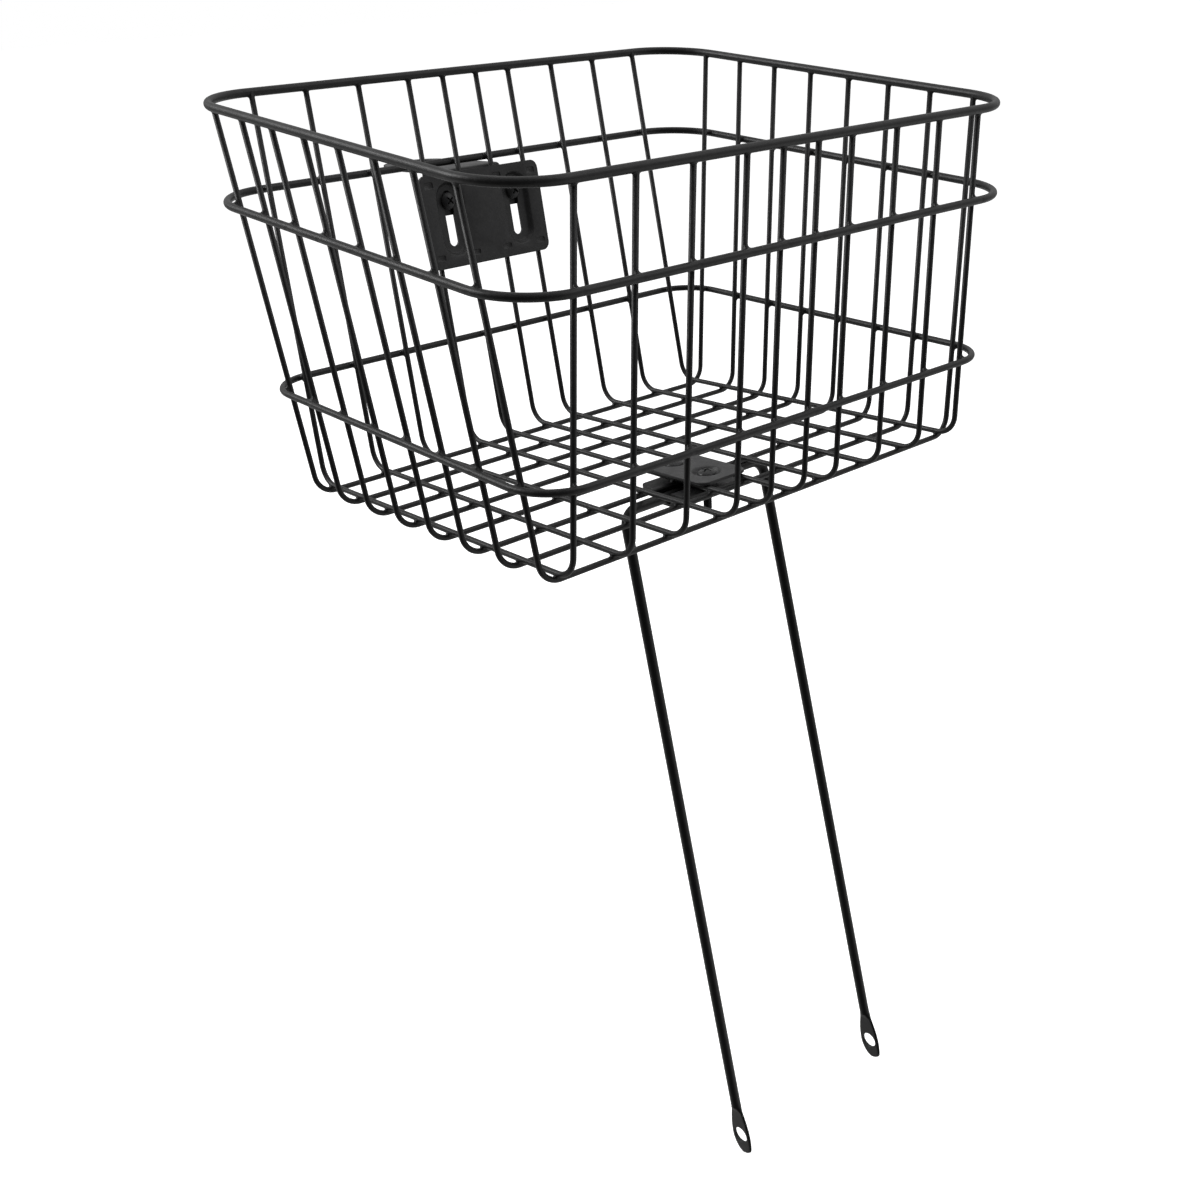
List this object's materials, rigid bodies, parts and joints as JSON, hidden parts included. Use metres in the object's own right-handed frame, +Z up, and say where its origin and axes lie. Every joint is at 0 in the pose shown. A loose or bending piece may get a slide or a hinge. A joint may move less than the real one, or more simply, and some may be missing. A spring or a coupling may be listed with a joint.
{
  "type": "wire handlebar basket",
  "caption": "Black wire bicycle basket with a slotted headset bracket behind it and a pair of swinging rod legs with flat axle eyes.",
  "frame": {"origin": "centre of the steerer hole, on the top face of the headset bracket's tongue", "axes": "+Z up along the steerer hole, +X towards the right leg, -Y from the rider towards the front wheel"},
  "size_m": [0.3546, 0.3549, 0.6251],
  "materials": {
    "wire_coat": "satin black powder coat",
    "plate_coat": "satin black powder coat, a little rougher on sheet",
    "leg_coat": "satin black powder coat",
    "screw_black": "black-finished steel screws, washers and nuts"
  },
  "bodies": {
    "bracket": {"headset_bracket": "plate_coat", "stem_screw_left": "screw_black", "stem_screw_right": "screw_black", "stem_washer_left": "screw_black", "stem_washer_right": "screw_black", "stem_nut_left": "screw_black", "stem_nut_right": "screw_black"},
    "basket": {"top_rim": "wire_coat", "middle_ring": "wire_coat", "lower_ring": "wire_coat", "lengthwise_wire_01": "wire_coat", "lengthwise_wire_02": "wire_coat", "lengthwise_wire_03": "wire_coat", "lengthwise_wire_04": "wire_coat", "lengthwise_wire_05": "wire_coat", "lengthwise_wire_06": "wire_coat", "lengthwise_wire_07": "wire_coat", "lengthwise_wire_08": "wire_coat", "lengthwise_wire_09": "wire_coat", "lengthwise_wire_10": "wire_coat", "cross_wire_1": "wire_coat", "cross_wire_2": "wire_coat", "cross_wire_3": "wire_coat", "cross_wire_4": "wire_coat", "cross_wire_5": "wire_coat", "cross_wire_6": "wire_coat", "cross_wire_7": "wire_coat", "cross_wire_8": "wire_coat", "stem_plate": "plate_coat", "top_clamp_plate": "plate_coat", "lower_clamp_saddle": "plate_coat", "clamp_screw_front": "screw_black", "clamp_screw_rear": "screw_black", "clamp_weld_nut_front": "screw_black", "clamp_weld_nut_rear": "screw_black"},
    "left_leg": {"left_leg": "leg_coat"},
    "right_leg": {"right_leg": "leg_coat"}
  },
  "joints": [
    {"name": "height_slide", "type": "slide", "parent": "bracket", "child": "basket", "axis": [0, 0.1252, 0.9921], "range_m": [-0.0023, 0.0227]},
    {"name": "left_leg_swing", "type": "hinge", "parent": "basket", "child": "left_leg", "pos_m": [-0.0528, -0.2478, -0.16655], "axis": [1, 0, 0], "range_deg": [-75, 95]},
    {"name": "right_leg_swing", "type": "hinge", "parent": "basket", "child": "right_leg", "pos_m": [0.061, -0.2414, -0.16655], "axis": [1, 0, 0], "range_deg": [-75, 95]}
  ]
}
